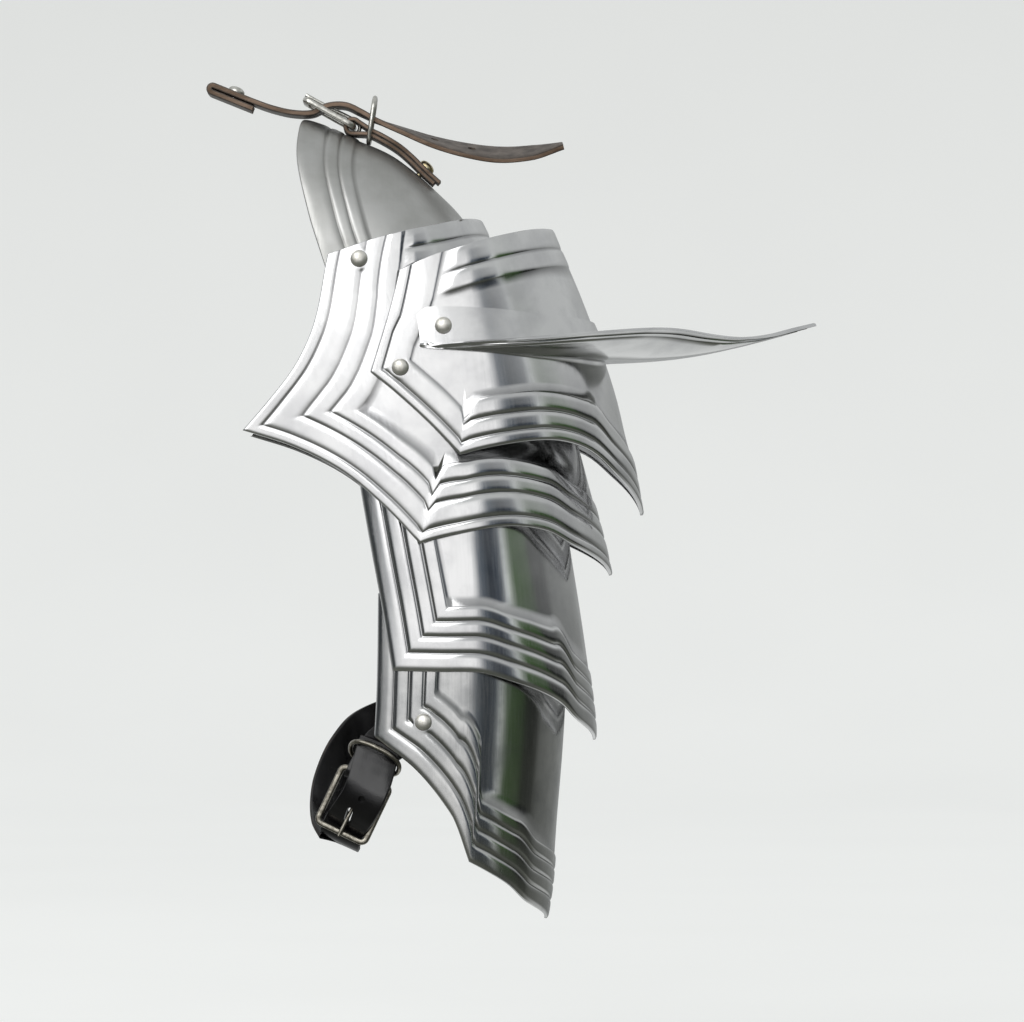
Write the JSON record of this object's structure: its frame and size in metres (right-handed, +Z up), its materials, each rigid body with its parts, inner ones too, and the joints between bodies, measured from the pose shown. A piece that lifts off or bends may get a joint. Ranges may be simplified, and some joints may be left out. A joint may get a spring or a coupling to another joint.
{
  "type": "pauldron",
  "caption": "Fluted steel shoulder guard: a cap on a buckled strap, a winged main plate with an outer plate and pointed side fin, and arm lames closed by a leather strap.",
  "frame": {"origin": "underside of the shoulder cap's crown, where the shoulder carries it", "axes": "+X out along the shoulder, -Y to the front, +Z up"},
  "size_m": [0.2827, 0.1578, 0.3867],
  "materials": {
    "satin_steel": "satin brushed",
    "polished_steel": "polished",
    "nickel": "polished",
    "brass": "polished",
    "brown_leather": "smooth, natural cut edges",
    "black_leather": "glossy, natural cut edges"
  },
  "bodies": {
    "shoulder_piece": {"shoulder_cap": "satin_steel", "shoulder_strap": "brown_leather", "shoulder_chape": "brown_leather", "shoulder_buckle": "nickel", "shoulder_tongue": "nickel", "shoulder_keeper": "nickel", "chape_rivet": "brass", "strap_rivet": "nickel"},
    "arm_guard": {"main_plate": "polished_steel", "outer_plate": "polished_steel", "wing_fin": "polished_steel", "upper_lame": "polished_steel", "lower_lame": "polished_steel", "inner_leather_front": "brown_leather", "inner_leather_back": "brown_leather", "pivot_rivet_front": "nickel", "pivot_rivet_back": "nickel", "plate_rivet_front": "nickel", "plate_rivet_back": "nickel", "fin_rivet_front": "nickel", "fin_rivet_back": "nickel", "lame_rivet_front": "nickel", "lame_rivet_back": "nickel", "arm_rivet_front": "nickel", "arm_rivet_back": "nickel", "arm_strap": "black_leather", "arm_chape": "black_leather", "arm_buckle": "nickel", "arm_tongue": "nickel", "arm_keeper": "nickel"}
  },
  "joints": [
    {"name": "shoulder_pivot", "type": "hinge", "parent": "shoulder_piece", "child": "arm_guard", "pos_m": [0.005, 0, -0.0582], "axis": [0, -1, 0], "range_deg": [0, 15]}
  ]
}
